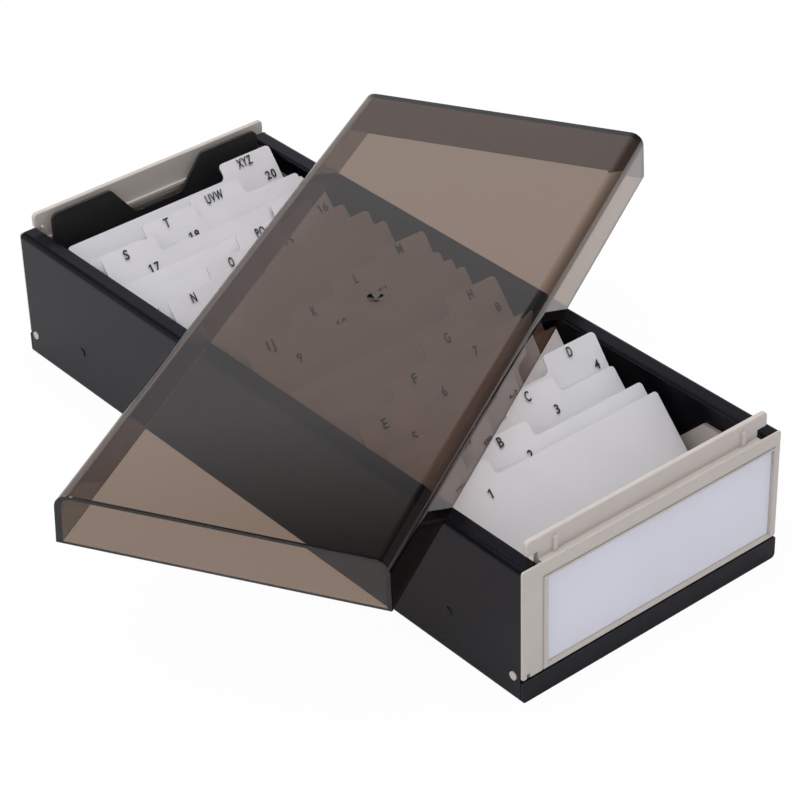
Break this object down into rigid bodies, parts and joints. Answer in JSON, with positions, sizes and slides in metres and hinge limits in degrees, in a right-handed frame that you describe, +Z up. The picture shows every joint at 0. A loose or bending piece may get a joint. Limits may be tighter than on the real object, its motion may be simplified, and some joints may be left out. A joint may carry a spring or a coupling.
{
  "type": "business card file box",
  "caption": "Long folded steel card tray with plastic end caps, a smoke clear lift-off lid laid aside, tabbed index guides and a sliding backing plate.",
  "frame": {"origin": "middle of the tray's floor, on its underside", "axes": "+Z up; +Y along the tray from the label end the picture shows to the far end; +X across it"},
  "size_m": [0.3032, 0.283, 0.0724],
  "materials": {
    "black_steel": "satin black paint on folded sheet steel",
    "beige_plastic": "fine matt moulded plastic",
    "label_paper": "smooth card",
    "clear_film": "clear film",
    "smoke_plastic": "polished smoke-brown clear plastic",
    "black_plate": "matt black",
    "white_sheet": "smooth semi-matt sheet with printed index marks"
  },
  "bodies": {
    "box": {"tray": "black_steel", "front_end_cap": "beige_plastic", "rear_end_cap": "beige_plastic", "front_label_card": "label_paper", "front_label_cover": "clear_film", "rear_label_card": "label_paper", "rear_label_cover": "clear_film"},
    "lid": {"lid": "smoke_plastic"},
    "follower": {"follower": "black_plate"},
    "guide_01": {"guide_01": "white_sheet"},
    "guide_02": {"guide_02": "white_sheet"},
    "guide_03": {"guide_03": "white_sheet"},
    "guide_04": {"guide_04": "white_sheet"},
    "guide_05": {"guide_05": "white_sheet"},
    "guide_06": {"guide_06": "white_sheet"},
    "guide_07": {"guide_07": "white_sheet"},
    "guide_08": {"guide_08": "white_sheet"},
    "guide_09": {"guide_09": "white_sheet"},
    "guide_10": {"guide_10": "white_sheet"},
    "guide_11": {"guide_11": "white_sheet"},
    "guide_12": {"guide_12": "white_sheet"},
    "guide_13": {"guide_13": "white_sheet"},
    "guide_14": {"guide_14": "white_sheet"},
    "guide_15": {"guide_15": "white_sheet"},
    "guide_16": {"guide_16": "white_sheet"},
    "guide_17": {"guide_17": "white_sheet"},
    "guide_18": {"guide_18": "white_sheet"},
    "guide_19": {"guide_19": "white_sheet"},
    "guide_20": {"guide_20": "white_sheet"}
  },
  "joints": [
    {"name": "lid_lift", "type": "slide", "parent": "box", "child": "lid", "axis": [0, 0, 1], "range_m": [0, 0.1]},
    {"name": "follower_slide", "type": "slide", "parent": "box", "child": "follower", "axis": [0, -1, 0], "range_m": [-0.001, 0.005]},
    {"name": "guide_01_slide", "type": "slide", "parent": "box", "child": "guide_01", "axis": [0, -1, 0], "range_m": [-0.005, 0.002]},
    {"name": "guide_02_slide", "type": "slide", "parent": "box", "child": "guide_02", "axis": [0, -1, 0], "range_m": [-0.005, 0.006]},
    {"name": "guide_03_slide", "type": "slide", "parent": "box", "child": "guide_03", "axis": [0, -1, 0], "range_m": [-0.0005, 0.006]},
    {"name": "guide_04_slide", "type": "slide", "parent": "box", "child": "guide_04", "axis": [0, -1, 0], "range_m": [-0.002, 0.00075]},
    {"name": "guide_05_tip", "type": "hinge", "parent": "box", "child": "guide_05", "pos_m": [0, -0.09354, 0.00095], "axis": [1, 0, 0], "range_deg": [0, 3]},
    {"name": "guide_06_tip", "type": "hinge", "parent": "box", "child": "guide_06", "pos_m": [0, -0.07954, 0.00095], "axis": [1, 0, 0], "range_deg": [0, 3]},
    {"name": "guide_07_tip", "type": "hinge", "parent": "box", "child": "guide_07", "pos_m": [0, -0.06771, 0.00095], "axis": [1, 0, 0], "range_deg": [0, 6.75]},
    {"name": "guide_08_tip", "type": "hinge", "parent": "box", "child": "guide_08", "pos_m": [0, -0.05153, 0.00095], "axis": [1, 0, 0], "range_deg": [0, 8.5]},
    {"name": "guide_09_tip", "type": "hinge", "parent": "box", "child": "guide_09", "pos_m": [0, -0.02902, 0.00095], "axis": [1, 0, 0], "range_deg": [0, 13.5]},
    {"name": "guide_10_tip", "type": "hinge", "parent": "box", "child": "guide_10", "pos_m": [0, -0.02202, 0.00095], "axis": [1, 0, 0], "range_deg": [0, 3.75]},
    {"name": "guide_11_tip", "type": "hinge", "parent": "box", "child": "guide_11", "pos_m": [0, -0.01502, 0.00095], "axis": [1, 0, 0], "range_deg": [0, 3.75]},
    {"name": "guide_12_tip", "type": "hinge", "parent": "box", "child": "guide_12", "pos_m": [0, -0.00998, 0.00095], "axis": [1, 0, 0], "range_deg": [0, 2.25]},
    {"name": "guide_13_tip", "type": "hinge", "parent": "box", "child": "guide_13", "pos_m": [0, 0.01597, 0.00095], "axis": [1, 0, 0], "range_deg": [0, 1.5]},
    {"name": "guide_14_tip", "type": "hinge", "parent": "box", "child": "guide_14", "pos_m": [0, 0.02637, 0.00095], "axis": [1, 0, 0], "range_deg": [0, 1.5]},
    {"name": "guide_15_tip", "type": "hinge", "parent": "box", "child": "guide_15", "pos_m": [0, 0.03674, 0.00095], "axis": [1, 0, 0], "range_deg": [0, 5]},
    {"name": "guide_16_tip", "type": "hinge", "parent": "box", "child": "guide_16", "pos_m": [0, 0.04714, 0.00095], "axis": [1, 0, 0], "range_deg": [0, 2.5]},
    {"name": "guide_17_tip", "type": "hinge", "parent": "box", "child": "guide_17", "pos_m": [0, 0.05697, 0.00095], "axis": [1, 0, 0], "range_deg": [0, 1.25]},
    {"name": "guide_18_tip", "type": "hinge", "parent": "box", "child": "guide_18", "pos_m": [0, 0.06557, 0.00095], "axis": [1, 0, 0], "range_deg": [0, 4.75]},
    {"name": "guide_19_tip", "type": "hinge", "parent": "box", "child": "guide_19", "pos_m": [0, 0.06906, 0.00095], "axis": [1, 0, 0], "range_deg": [0, 1.25]},
    {"name": "guide_20_tip", "type": "hinge", "parent": "box", "child": "guide_20", "pos_m": [0, 0.08277, 0.00095], "axis": [1, 0, 0], "range_deg": [0, 8.25]}
  ]
}
